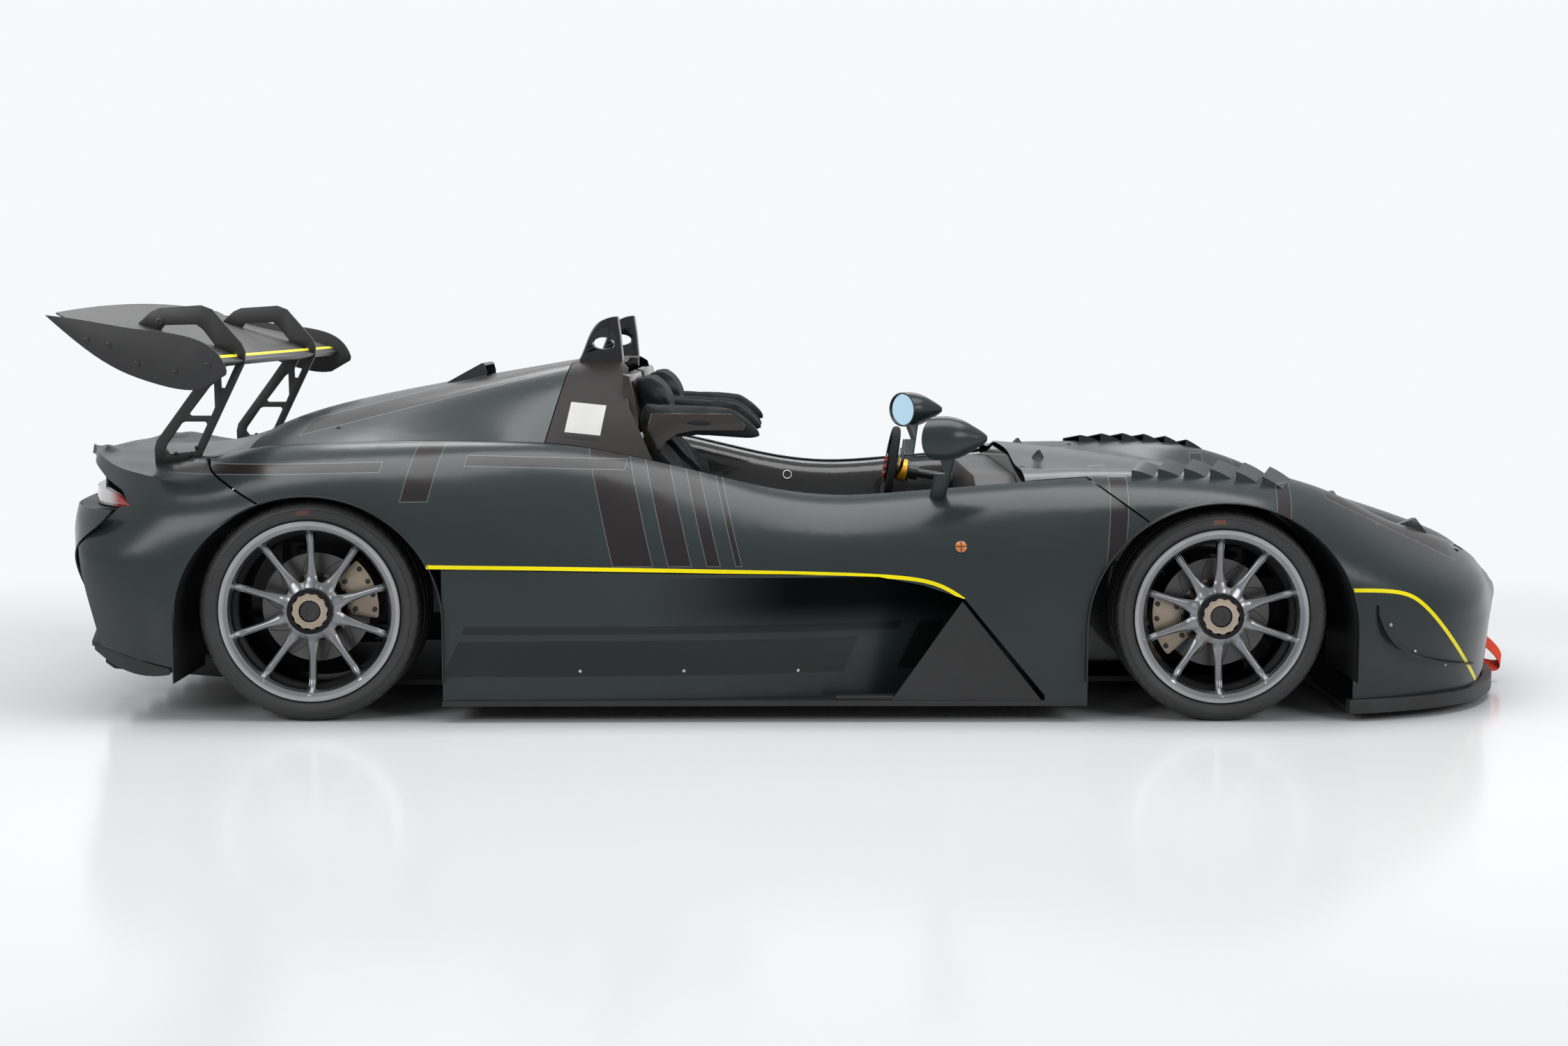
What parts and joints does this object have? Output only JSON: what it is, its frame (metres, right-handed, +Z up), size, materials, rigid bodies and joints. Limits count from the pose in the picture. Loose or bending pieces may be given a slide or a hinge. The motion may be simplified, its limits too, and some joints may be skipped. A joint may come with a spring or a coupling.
{
  "type": "open two-seat track car",
  "caption": "Open carbon-tub track car with laminate bodywork, mid engine, swan-neck rear wing, steered front wheels and wheels that roll.",
  "frame": {"origin": "on the ground under the middle of the car's length and width", "axes": "+X towards the nose, +Y to the car's left, +Z up"},
  "size_m": [4.1891, 1.8728, 1.1349],
  "materials": {
    "paint": "matte dark olive paint over laminate",
    "carbon_gloss": "clear-coated carbon weave",
    "carbon_matt": "matt carbon laminate",
    "carbon_bronze": "bronze-tinted clear-coated carbon",
    "black_plastic": "fine grained",
    "hoop_black": "gloss black",
    "tyre": "semi-slick",
    "rim_alloy": "gunmetal, fine machined",
    "disc_steel": "grooved, ground faces",
    "caliper_alloy": "anodised champagne",
    "alloy": "milled",
    "steel_black": "black powder coat",
    "cast_alloy": "as cast",
    "exhaust_steel": "heat-tinted",
    "suede": "dark microfibre suede over foam",
    "lamp_red": "red lens",
    "lamp_clear": "clear lens",
    "mirror": "mirror glass"
  },
  "bodies": {
    "chassis": {"bargeboards": "carbon_gloss", "calipers_rear": "caliper_alloy", "channel_panels": "paint", "dashboard": "carbon_matt", "driveshafts": "steel_black", "engine_block": "cast_alloy", "engine_cover": "paint", "exhaust": "exhaust_steel", "floor_pan": "carbon_matt", "front_clamshell": "paint", "front_louvres": "paint", "front_splitter": "carbon_matt", "gearbox": "cast_alloy", "head_restraint_pads": "suede", "head_restraint_shells": "carbon_bronze", "headlamps": "lamp_clear", "knuckles_rear": "alloy", "mirror_glass": "mirror", "mirrors": "carbon_gloss", "monocoque": "carbon_gloss", "nose_crash_box": "carbon_matt", "nose_grille": "black_plastic", "rack_housing": "alloy", "rear_bumper": "paint", "rear_crash_beam": "alloy", "rear_diffuser": "carbon_matt", "rear_fascia": "black_plastic", "rear_subframe": "steel_black", "rear_wing": "carbon_gloss", "roll_hoops": "hoop_black", "roll_structure": "carbon_gloss", "seats": "suede", "side_panel_left": "paint", "side_panel_right": "paint", "swan_necks": "carbon_gloss", "tail_lamps": "lamp_red", "tail_section": "paint", "wheel_arch_liners": "black_plastic", "wing_endplates": "carbon_gloss", "wishbones_front": "steel_black", "wishbones_rear": "steel_black"},
    "wheel_front_left": {"tyre_front_left": "tyre", "rim_front_left": "rim_alloy", "brake_disc_front_left": "disc_steel"},
    "wheel_front_right": {"tyre_front_right": "tyre", "rim_front_right": "rim_alloy", "brake_disc_front_right": "disc_steel"},
    "wheel_rear_left": {"tyre_rear_left": "tyre", "rim_rear_left": "rim_alloy", "brake_disc_rear_left": "disc_steel"},
    "wheel_rear_right": {"tyre_rear_right": "tyre", "rim_rear_right": "rim_alloy", "brake_disc_rear_right": "disc_steel"},
    "knuckle_front_left": {"knuckle_front_left": "alloy", "caliper_front_left": "caliper_alloy"},
    "knuckle_front_right": {"knuckle_front_right": "alloy", "caliper_front_right": "caliper_alloy"},
    "steering_wheel": {"steering_wheel": "suede", "steering_column": "alloy"},
    "steering_rack": {"steering_rack": "alloy"}
  },
  "joints": [
    {"name": "steer_left", "type": "hinge", "parent": "chassis", "child": "knuckle_front_left", "pos_m": [1.16, 0.735, 0.288], "axis": [0, 0, 1], "range_deg": [-24, 24]},
    {"name": "steer_right", "type": "hinge", "parent": "chassis", "child": "knuckle_front_right", "pos_m": [1.16, -0.735, 0.288], "axis": [0, 0, 1], "range_deg": [-24, 24]},
    {"name": "steering_wheel_turn", "type": "hinge", "parent": "chassis", "child": "steering_wheel", "pos_m": [0.317, 0.36, 0.604], "axis": [-0.9853, 0, 0.171], "range_deg": [-270, 270]},
    {"name": "rack_slide", "type": "slide", "parent": "chassis", "child": "steering_rack", "axis": [0, 1, 0], "range_m": [-0.0407, 0.0407]},
    {"name": "roll_front_left", "type": "hinge", "parent": "knuckle_front_left", "child": "wheel_front_left", "pos_m": [1.16, 0.735, 0.288], "axis": [0, 1, 0], "continuous": true},
    {"name": "roll_front_right", "type": "hinge", "parent": "knuckle_front_right", "child": "wheel_front_right", "pos_m": [1.16, -0.735, 0.288], "axis": [0, 1, 0], "continuous": true},
    {"name": "roll_rear_left", "type": "hinge", "parent": "chassis", "child": "wheel_rear_left", "pos_m": [-1.315, 0.735, 0.302], "axis": [0, 1, 0], "continuous": true},
    {"name": "roll_rear_right", "type": "hinge", "parent": "chassis", "child": "wheel_rear_right", "pos_m": [-1.315, -0.735, 0.302], "axis": [0, 1, 0], "continuous": true}
  ],
  "couplings": [
    {"joint": "steer_right", "follows": "steer_left", "ratio": 1},
    {"joint": "steering_wheel_turn", "follows": "steer_left", "ratio": 11.25},
    {"joint": "rack_slide", "follows": "steer_left", "m_per_rad": -0.09716}
  ]
}
